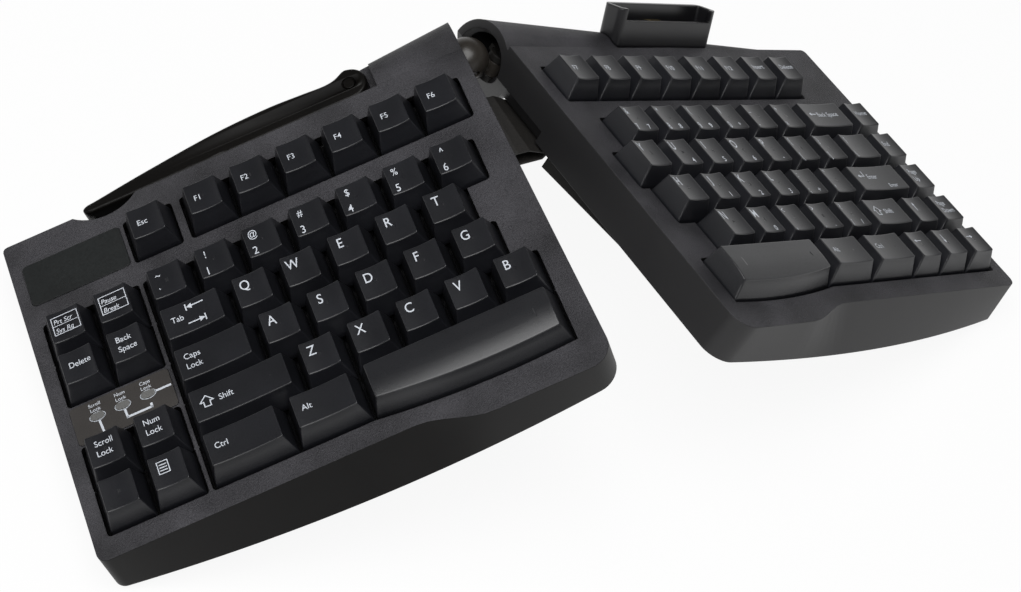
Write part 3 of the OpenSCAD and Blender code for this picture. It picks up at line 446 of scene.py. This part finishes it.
block = -2 - capSet["blockGap"] / capSet["pitch"]
side = capSet["navigationAt"]
keyGroups = {
    "key_esc": ("left", line(["Esc"], 0, 0)),
    "keys_f1_to_f6": ("left", line(["F1", "F2", "F3", "F4", "F5", "F6"], capSet["functionOne"], 0)),
    "keys_number_left": ("left", line(["~|`", "!|1", "@|2", "#|3", "$|4", "%|5", "^|6"], 0, 1)),
    "key_tab": ("left", line(["Tab"], 0, 2, 1.5)),
    "keys_q_to_t": ("left", line("QWERT", 1.5, 2)),
    "key_caps_lock": ("left", line(["Caps/Lock"], 0, 3, 1.75)),
    "keys_a_to_g": ("left", line("ASDFG", 1.75, 3)),
    "key_left_shift": ("left", line(["Shift"], 0, 4, 2.25)),
    "keys_z_to_b": ("left", line("ZXCVB", 2.25, 4)),
    "key_left_ctrl": ("left", line(["Ctrl"], 0, 5, 1.75)),
    "key_left_alt": ("left", line(["Alt"], 1.75, 5, 1.5)),
    "key_left_space": ("left", line([""], 3.25, 5, 4.0)),
    "keys_edit_upper": ("left", line(["Prt Scr/Sys Rq", "Pause/Break"], block, 1)
                        + line(["Delete", "Back/Space"], block, 2)),
    "keys_edit_lower": ("left", line(["Scroll/Lock", "Num/Lock"], block, 4) + line(["", "menu"], block, 5)),
    "keys_f7_to_del": ("right", line(["F7", "F8", "F9", "F10", "F11", "F12", "Insert", "Delete"], 6.5, 0)),
    "keys_number_right": ("right", line(["&|7", "*|8", "(|9", ")|0", "_|-", "+|="], 7, 1)),
    "key_backspace": ("right", line(["Back Space"], 13, 1, 1.75)),
    "keys_y_to_bracket": ("right", line(["Y", "U", "I", "O", "P", "{|[", "}|]"], 6.5, 2)),
    "key_backslash": ("right", line(["bar|\\"], 13.5, 2, 1.25)),
    "keys_h_to_quote": ("right", line(["H", "J", "K", "L", ":|;", "\"|'"], 6.75, 3)),
    "key_enter": ("right", line(["Enter"], 12.75, 3, 2.0)),
    "keys_n_to_slash": ("right", line(["N", "M", "<|,", ">|.", "?|/"], 7.25, 4)),
    "key_right_shift": ("right", line(["Shift"], 12.25, 4, 1.5)),
    "keys_navigation": ("right", line(["Home"], side, 1) + line(["End"], side, 2) + line(["Page/Up"], side, 3)
                        + line(["Page/Down"], side, 4)),
    "keys_arrow": ("right", line(["up"], 13.75, 4) + line(["left", "down", "right"], 12.75, 5)),
    "key_right_space": ("right", line([""], 6.5, 5, 3.25)),
    "key_right_alt": ("right", line(["Alt"], 9.75, 5, 1.5)),
    "key_right_ctrl": ("right", line(["Ctrl"], 11.25, 5, 1.5))}

# Lettering in millimetres about the key's middle; the places differ a little between the halves.
legendSet = {
    "letter": 6.0, "digit": 4.9, "symbol": 4.5, "word": 3.5, "small": 2.9, "second": 3.6,
    "narrow": 0.9, "slim": 0.8, "bold": 0.004, "middle": 0.36, "left": -3.4, "lift": 0.04,
    "places": {"left": {"letter": (-2.4, 4.1), "upper": (-2.7, 4.8), "lower": (-3.5, -2.6)},
               "right": {"letter": (-3.6, 4.8), "upper": (-4.0, 5.5), "lower": (-4.7, -3.3)}},
    "secondAt": (2.4, -3.2), "wordY": 2.2, "functionY": 1.3, "twoWordsY": (4.2, -0.1),
    "framedY": (3.7, -0.3), "framedX": -0.7, "slant": 0.2,
    "frame": [(-1.4, 5.6), (8.8, 5.6), (8.8, -2.2), (-1.4, -2.2)], "frameLine": 0.32,
    "divider": [(-1.4, 1.7), (8.8, 1.7)], "dividerLine": 0.25,
    "seconds": {"7": "7", "8": "8", "9": "9", "0": "*", "U": "4", "I": "5", "O": "6", "P": "-",
                "J": "1", "K": "2", "L": "3", ";": "+", "M": "0", ".": ".", "/": "/"}}

# Drawn signs, with x from the legend's left: words as (text, size, x, y), arrows as (x, y, length, angle,
# line, head), strokes and closed loops as (line, points).
signSet = {
    "right": {"arrows": [(1.9, 3.2, 4.4, 0, 0.45, 1.6)]},
    "up": {"arrows": [(1.9, 3.2, 4.4, 90, 0.45, 1.6)]},
    "left": {"arrows": [(1.9, 3.2, 4.4, 180, 0.45, 1.6)]},
    "down": {"arrows": [(1.9, 3.2, 4.4, 270, 0.45, 1.6)]},
    "menu": {"loops": [(0.35, [(-0.1, 5.5), (3.9, 5.5), (3.9, 0.5), (-0.1, 0.5)])],
             "strokes": [(0.4, [(0.7, y), (3.1, y)]) for y in (4.2, 3.0, 1.8)]},
    "Tab": {"words": [("Tab", "word", 0.0, 2.0)],
            "arrows": [(9.9, 5.4, 6.4, 180, 0.5, 2.1), (9.1, -1.7, 6.4, 0, 0.5, 2.1)],
            "strokes": [(0.5, [(6.5, 4.2), (6.5, 6.6)]), (0.5, [(12.5, -2.9), (12.5, -0.5)])]},
    "Shift": {"words": [("Shift", "word", 7.2, 1.7)],
              "loops": [(0.42, [(2.6, 4.4), (0.1, 1.9), (1.4, 1.9), (1.4, -0.2), (3.8, -0.2), (3.8, 1.9),
                                (5.1, 1.9)])]},
    "Enter": {"words": [("Enter", "word", 6.6, 2.4), ("Enter", "small", 17.0, -3.0)],
              "arrows": [(2.4, 2.6, 4.6, 180, 0.5, 1.8)], "strokes": [(0.5, [(4.7, 2.6), (4.7, 5.2)])]},
    "Back Space": {"words": [("Back Space", "word", 5.8, 1.8)], "arrows": [(2.2, 1.8, 4.6, 180, 0.5, 1.8)]}}


# A text object's outline, filled, as flat points and faces.
def textShape(words, size, slant=0.0):
    curve = bpy.data.curves.new("words", "FONT")
    curve.body = words
    curve.size = size
    curve.shear = slant
    curve.offset = size * legendSet["bold"]
    obj = bpy.data.objects.new("words", curve)
    bpy.context.collection.objects.link(obj)
    mesh = obj.evaluated_get(bpy.context.evaluated_depsgraph_get()).to_mesh()
    pts = np.empty(len(mesh.vertices) * 3)
    mesh.vertices.foreach_get("co", pts)
    faces = [list(p.vertices) for p in mesh.polygons]
    bpy.data.objects.remove(obj)
    bpy.data.curves.remove(curve)
    return pts.reshape(-1, 3)[:, :2], faces


# A line of even width through points: each stretch is a rectangle, longer by half the width at each end.
def strokeShape(points, width, closed=False):
    p = np.asarray(points, float)
    if closed:
        p = np.vstack([p, p[:1]])
    a, b = p[:-1], p[1:]
    d = (b - a) / np.linalg.norm(b - a, axis=1, keepdims=True)
    n = np.stack([-d[:, 1], d[:, 0]], 1) * width / 2
    e = d * width / 2
    pts = np.stack([a - e - n, b + e - n, b + e + n, a - e + n], 1).reshape(-1, 2)
    return pts, np.arange(len(pts)).reshape(-1, 4).tolist()


# Arrows: a straight line with a triangle for its head, a tenth wider than it is long.
arrowSet = {"stemEnd": 0.6, "halfHead": 0.55}


def arrowShape(x, y, length, angle, width, head):
    a = math.radians(angle)
    d, n = np.array([math.cos(a), math.sin(a)]), np.array([-math.sin(a), math.cos(a)])
    tip = np.array([x, y]) + d * length / 2
    tail = np.array([x, y]) - d * length / 2
    stem = strokeShape([tail, tip - d * head * arrowSet["stemEnd"]], width)
    aside = n * head * arrowSet["halfHead"]
    barb = np.array([tip, tip - d * head + aside, tip - d * head - aside])
    return joinShapes([stem, (barb, [[0, 1, 2]])])


# The legend of one key as a list of flat shapes, drawn about the key's middle.
def legendShapes(name, w, half):
    shift = (w - 1) * capSet["pitch"] / 2
    left = legendSet["left"] - shift
    places = legendSet["places"][half]
    shapes = []

    # Words start at x, single signs are centred on it; y is the middle of the capitals.
    def put(words, size, x, y, slant=0.0):
        pts, faces = textShape(words, legendSet[size], slant)
        if len(pts):
            pts = pts * np.array([legendSet["narrow" if len(words) > 1 else "slim"], 1.0])
            low, high = pts[:, 0].min(), pts[:, 0].max()
            start = low if len(words) > 1 else (low + high) / 2
            shapes.append((pts + np.array([x - start, y - legendSet["middle"] * legendSet[size]]), faces))

    def draw(points, width, closed=False):
        shapes.append(strokeShape(np.array(points) + [left, 0], width, closed))

    if name in signSet:
        sign = signSet[name]
        for words, size, x, y in sign.get("words", []):
            put(words, size, left + x, y)
        for x, *rest in sign.get("arrows", []):
            shapes.append(arrowShape(left + x, *rest))
        for width, points in sign.get("strokes", []):
            draw(points, width)
        for width, points in sign.get("loops", []):
            draw(points, width, True)
    elif "|" in name:
        upper, lower = name.split("|")
        put("|" if upper == "bar" else upper, "symbol", places["upper"][0] - shift, places["upper"][1])
        put(lower, "digit", places["lower"][0] - shift, places["lower"][1])
    elif name.startswith(("Prt", "Pause")):
        for words, y in zip(name.split("/"), legendSet["framedY"]):
            put(words, "small", left + legendSet["framedX"], y, legendSet["slant"])
        draw(legendSet["frame"], legendSet["frameLine"], True)
        draw(legendSet["divider"], legendSet["dividerLine"])
    elif "/" in name:
        for words, y in zip(name.split("/"), legendSet["twoWordsY"]):
            put(words, "word", left, y)
    elif len(name) == 1:
        put(name, "letter", *places["letter"])
    elif name:
        put(name, "word", left, legendSet["functionY" if name[0] == "F" or name == "Esc" else "wordY"])
    second = legendSet["seconds"].get(name.split("|")[-1]) if half == "right" else None
    if second:
        put(second, "second", *legendSet["secondAt"])
    return shapes


for node, (half, keys) in keyGroups.items():
    caps, inks = [], []
    for name, u, w, row in keys:
        middle = np.array([*keyCentre(u, w, row, half), capSet["skirt"]])
        verts, faces = capMesh(w, half)
        caps.append((verts + middle, faces))
        for pts, faces in legendShapes(name, w, half):
            z = topHeight(pts[:, 0], pts[:, 1], halfTopOf(w), False) + legendSet["lift"]
            inks.append((np.column_stack([pts, z]) + middle, faces))
    verts, faces = joinShapes(caps)
    finish = finishes["spacePlastic" if node.endswith("_space") else "keyPlastic"]
    cap = addMesh(node + "_caps", place(verts, half), faces, finish)
    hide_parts(node)
    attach(cap, node)
    if inks:
        verts, faces = joinShapes(inks)
        ink = addMesh(node + "_legend", place(verts, half), faces, finishes["paleInk"], False)
        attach(ink, node)
print("keys made")

# Lock lever: a smooth outline drawn up with a rounded top edge and a recess for its pin; x grows outwards.
leverSet = {"pin": (44.6, 1.8), "endRadius": 7.0, "endArc": range(-95, -285, -20), "low": 7.5, "high": 13.5,
            "chamfer": 0.3, "round": 1.1, "roundTurns": range(0, 91, 15), "steps": 6,
            "recess": 2.9, "recessDepth": 1.0, "recessEdge": 0.15, "bore": 2.05, "holePoints": 40,
            "rear": [(49.5, 6.6), (54.5, 5.9), (64.0, 6.5), (78.5, 7.1), (101.0, 6.1), (130.0, 2.5),
                     (150.0, -0.6)],
            "tip": [(155.4, -1.4), (157.2, -3.0), (155.4, -4.9)],
            "front": [(148.0, -5.15), (120.0, -5.15), (90.0, -5.15), (62.0, -5.15), (50.0, -5.18)]}


# Closed Catmull-Rom curve through points.
def smoothLoop(points, steps):
    p = np.asarray(points, float)
    before, after, later = np.roll(p, 1, 0), np.roll(p, -1, 0), np.roll(p, -2, 0)
    out = []
    for t in np.linspace(0, 1, steps, endpoint=False):
        second = 2 * before - 5 * p + 4 * after - later
        third = 3 * p - before - 3 * after + later
        out.append(0.5 * (2 * p + (after - before) * t + second * t ** 2 + third * t ** 3))
    return np.stack(out, 1).reshape(-1, 2)


def circlePoints(centre, radius, count):
    a = np.linspace(0, 2 * math.pi, count, endpoint=False)
    return np.stack([centre[0] + radius * np.cos(a), centre[1] + radius * np.sin(a)], 1)


# Inward normals of a closed counter-clockwise loop.
def inwardNormals(loop):
    d = np.roll(loop, -1, 0) - np.roll(loop, 1, 0)
    n = np.stack([-d[:, 1], d[:, 0]], 1)
    return n / np.linalg.norm(n, axis=1, keepdims=True)


# Triangles of a flat outline with one round hole, both given as loops.
def holedFaces(outer, inner, start, startInner):
    flat = [[Vector((x, y, 0)) for x, y in outer], [Vector((x, y, 0)) for x, y in inner]]
    index = list(range(start, start + len(outer))) + list(range(startInner, startInner + len(inner)))
    return [[index[i] for i in tri] for tri in tessellate_polygon(flat)]


def leverMesh():
    low, high, bend = leverSet["low"], leverSet["high"], leverSet["round"]
    pinX, pinY = leverSet["pin"]
    arc = np.radians(leverSet["endArc"])
    endArc = leverSet["pin"] + leverSet["endRadius"] * np.stack([np.cos(arc), np.sin(arc)], 1)
    control = np.vstack([leverSet["rear"], leverSet["tip"], leverSet["front"], endArc])
    loop = smoothLoop(control * [-1, 1], leverSet["steps"])
    area = np.sum(loop[:, 0] * np.roll(loop[:, 1], -1) - np.roll(loop[:, 0], -1) * loop[:, 1])
    loop = loop if area > 0 else loop[::-1]
    inward = inwardNormals(loop)
    rings = [atHeight(loop + inward * leverSet["chamfer"], low), atHeight(loop, low + leverSet["chamfer"])]
    for a in np.radians(leverSet["roundTurns"]):
        rings.append(atHeight(loop + inward * bend * (1 - math.cos(a)), high - bend * (1 - math.sin(a))))
    edge, floor = leverSet["recess"] - leverSet["recessEdge"], high - leverSet["recessDepth"]
    count = leverSet["holePoints"]
    holes = []
    for radius, z in ((leverSet["recess"], high), (edge, high - leverSet["recessEdge"]), (edge, floor),
                      (leverSet["bore"], floor), (leverSet["bore"], low)):
        holes.append(atHeight(circlePoints((-pinX, pinY), radius, count), z))
    top = (len(rings) - 1) * len(loop)
    startHole = len(rings) * len(loop)
    faces = ringFaces(len(rings), len(loop))
    faces += holedFaces(rings[-1][:, :2], holes[0][:, :2], top, startHole)
    faces += [face[::-1] for face in ringFaces(len(holes), count, startHole)]
    faces += holedFaces(rings[0][:, :2], holes[-1][:, :2], 0, startHole + count * (len(holes) - 1))
    return np.concatenate(rings + holes), faces


verts, faces = leverMesh()
lever = addMesh("lever_bar", place(verts, "left"), faces, finishes["leverPlastic"])
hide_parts("lock_lever")
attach(lever, "lever")

# Cable boot: two soft sleeves, one inside the other, that widen to the front where the walls part.
# Sections are (x, z) from the ball's middle, and the outer one is an open channel.
bootSet = {"rear": -16.9, "front": -46.5, "rows": 24, "spread": 0.1, "rest": -19.0,
           "middle": 2.0, "reach": 6.0, "over": 1.0, "overFrom": 4.0, "overReach": 4.0, "blendAt": (-30, -9),
           "inner": [(-6.5, -10.9), (-0.5, -10.9), (-0.5, -6.6), (-1.8, -6.9), (-4.0, -7.6), (-5.6, -8.1),
                     (-7.7, -8.7), (-7.0, -10.1)],
           "outer": [(-2.0, -12.4), (1.0, -12.4), (8.4, -12.4), (10.8, -9.2), (8.8, -8.4), (6.4, -6.4),
                     (4.0, -4.6), (0.5, -4.6), (-2.0, -5.6), (-2.0, -6.4), (0.7, -5.4), (3.7, -5.4),
                     (5.9, -7.1), (8.3, -9.1), (9.4, -9.5), (8.0, -11.6), (1.0, -11.6), (-2.0, -11.6)]}


# The section carried from rear to front; past "rest" its sides part in step with the distance, and its
# right side stands out by "over".
def bootSleeve(name, section):
    x, z = np.array(section).T
    y = np.linspace(bootSet["rear"], bootSet["front"], bootSet["rows"])[:, None]
    wider = np.maximum(bootSet["rest"] - y, 0) * bootSet["spread"]
    away = np.clip(x - bootSet["middle"], -bootSet["reach"], bootSet["reach"]) / bootSet["reach"]
    over = np.clip(x - bootSet["overFrom"], 0, bootSet["overReach"]) / bootSet["overReach"] * bootSet["over"]
    grid = np.stack(np.broadcast_arrays(x + away * wider + over, y, z), -1).reshape(-1, 3) + ballAt
    count, rows = len(x), bootSet["rows"]
    ends = [list(range(count))[::-1], list(range((rows - 1) * count, rows * count))]
    faces = ringFaces(rows, count) + ends
    piece = addMesh(name, grid / perMetre, faces, finishes["softRubber"], False)
    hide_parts("cable_boot")
    return piece


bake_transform(bootSleeve("boot_inner", bootSet["inner"]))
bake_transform(bootSleeve("boot_outer", bootSet["outer"]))

# Light panel: printed captions, pale rings drawn round the lights, and printed lead lines to the keys they
# belong to.
panelSet = {"x": -165.36, "y": -95.125, "top": 15.2, "lift": 0.03, "step": 10.0, "lightY": 1.0,
            "caption": 2.1, "captionY": (5.6, 3.4), "captions": ["Scroll/Lock", "Num/Lock", "Caps/Lock"],
            "ring": (3.0, 1.8), "ringPoints": 28, "ringLine": 0.35, "line": 0.9,
            "leads": [[(-9.8, -1.0), (-9.4, -6.2)],
                      [(0.2, -1.0), (0.4, -4.6), (10.0, -4.6), (10.0, -3.4)],
                      [(12.8, 1.0), (18.6, 1.0)]]}
shapes = []
for i, words in enumerate(panelSet["captions"]):
    x = (i - 1) * panelSet["step"]
    for word, y in zip(words.split("/"), panelSet["captionY"]):
        pts, f = textShape(word, panelSet["caption"])
        middle = (pts[:, 0].min() + pts[:, 0].max()) / 2
        shapes.append((pts + np.array([x - middle, y]), f))
    ring = circlePoints((0, 0), 1.0, panelSet["ringPoints"]) * panelSet["ring"] + [x, panelSet["lightY"]]
    shapes.append(strokeShape(ring, panelSet["ringLine"], True))
for path in panelSet["leads"]:
    shapes.append(strokeShape(path, panelSet["line"]))
verts, faces = joinShapes(shapes)
verts = atHeight(verts + np.array([panelSet["x"], panelSet["y"]]), panelSet["top"] + panelSet["lift"])
prints = addMesh("panel_prints", place(verts, "left"), faces, finishes["paleInk"], False)
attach(prints, "left_half")
print("lever and panel made")

# Floor: matt and pale, shown to the camera and in reflections as nearly white paper with a faint shadow.
floorSet = {"size": 6.0, "colour": (0.9, 0.9, 0.9), "rough": 0.8, "white": 0.92}


def floorPaint():
    mat = bpy.data.materials.new("floorPaint")
    mat.use_nodes = True
    tree = mat.node_tree
    paint = tree.nodes["Principled BSDF"]
    setInput(paint, "Base Color", (*floorSet["colour"], 1))
    setInput(paint, "Roughness", floorSet["rough"])
    glow = addNode(tree, "ShaderNodeEmission")
    path = addNode(tree, "ShaderNodeLightPath")
    seen = addNode(tree, "ShaderNodeMath", operation="MAXIMUM")
    tree.links.new(path.outputs["Is Camera Ray"], seen.inputs[0])
    tree.links.new(path.outputs["Is Glossy Ray"], seen.inputs[1])
    seenThrough = addNode(tree, "ShaderNodeMath", operation="MAXIMUM")
    tree.links.new(seen.outputs["Value"], seenThrough.inputs[0])
    tree.links.new(path.outputs["Is Transmission Ray"], seenThrough.inputs[1])
    share = addNode(tree, "ShaderNodeMath", operation="MULTIPLY")
    share.inputs[1].default_value = floorSet["white"]
    tree.links.new(seenThrough.outputs["Value"], share.inputs[0])
    mix = addNode(tree, "ShaderNodeMixShader")
    tree.links.new(share.outputs["Value"], mix.inputs["Fac"])
    tree.links.new(paint.outputs["BSDF"], mix.inputs[1])
    tree.links.new(glow.outputs["Emission"], mix.inputs[2])
    tree.links.new(mix.outputs["Shader"], tree.nodes["Material Output"].inputs["Surface"])
    return mat


s = floorSet["size"]
floor = addMesh("floor", [(-s, -s, 0), (s, -s, 0), (s, s, 0), (-s, s, 0)], [[0, 1, 2, 3]], floorPaint())

# Light: a softbox overhead and a room that is bright near the horizon and dark above.
lightSet = {"at": (-0.34, -0.2, 1.27), "aim": (0, 0, 0.05), "size": 1.1, "power": 19.0,
            "low": 0.74, "high": 0.04, "from": 0.25, "to": 0.52}
scene = bpy.context.scene
scene.world = bpy.data.worlds.new("studio")
scene.world.use_nodes = True
tree = scene.world.node_tree
coords = addNode(tree, "ShaderNodeTexCoord")
parts = addNode(tree, "ShaderNodeSeparateXYZ")
fall = addNode(tree, "ShaderNodeMapRange")
for name, key in (("From Min", "from"), ("From Max", "to"), ("To Min", "low"), ("To Max", "high")):
    setInput(fall, name, lightSet[key])
tree.links.new(coords.outputs["Generated"], parts.inputs["Vector"])
tree.links.new(parts.outputs["Z"], fall.inputs["Value"])
tree.links.new(fall.outputs["Result"], tree.nodes["Background"].inputs["Strength"])
setInput(tree.nodes["Background"], "Color", (1, 1, 1, 1))
lamp = bpy.data.lights.new("softbox", "AREA")
lamp.size = lightSet["size"]
lamp.energy = lightSet["power"]
softbox = bpy.data.objects.new("softbox", lamp)
bpy.context.collection.objects.link(softbox)
d = np.array(lightSet["aim"]) - np.array(lightSet["at"])
yaw, pitch = math.atan2(d[1], d[0]), math.atan2(-d[2], math.hypot(d[0], d[1]))
softbox.location = lightSet["at"]
softbox.rotation_euler = (math.pi / 2 - pitch, 0, yaw - math.pi / 2)

# Camera at the photo's angle, fitted to the key corners and rolled as the photo is; focal is in pixels.
camSet = {"at": (-432.711, -516.845, 804.39), "azimuth": -39.602, "elevation": 49.534, "roll": 16.19,
          "focal": 2631.592, "width": 1021, "height": 592, "sensor": 36.0, "far": 20}
az, el, roll = (math.radians(camSet[k]) for k in ("azimuth", "elevation", "roll"))
back = np.array([math.sin(az) * math.cos(el), -math.cos(az) * math.cos(el), math.sin(el)])
right = np.cross(-back, [0, 0, 1])
right /= np.linalg.norm(right)
up = np.cross(back, right)
view = np.eye(4)
view[:3, 0] = right * math.cos(roll) + up * math.sin(roll)
view[:3, 1] = up * math.cos(roll) - right * math.sin(roll)
view[:3, 2] = back
view[:3, 3] = np.array(camSet["at"]) / perMetre
camData = bpy.data.cameras.new("photoCamera")
camData.sensor_width = camSet["sensor"]
camData.lens = camSet["focal"] / camSet["width"] * camSet["sensor"]
camData.clip_end = camSet["far"]
scene.camera = bpy.data.objects.new("photoCamera", camData)
bpy.context.collection.objects.link(scene.camera)
scene.camera.matrix_world = Matrix(view.tolist())
scene.render.resolution_x = camSet["width"]
scene.render.resolution_y = camSet["height"]
scene.view_settings.view_transform = "Standard"
print("stage set")
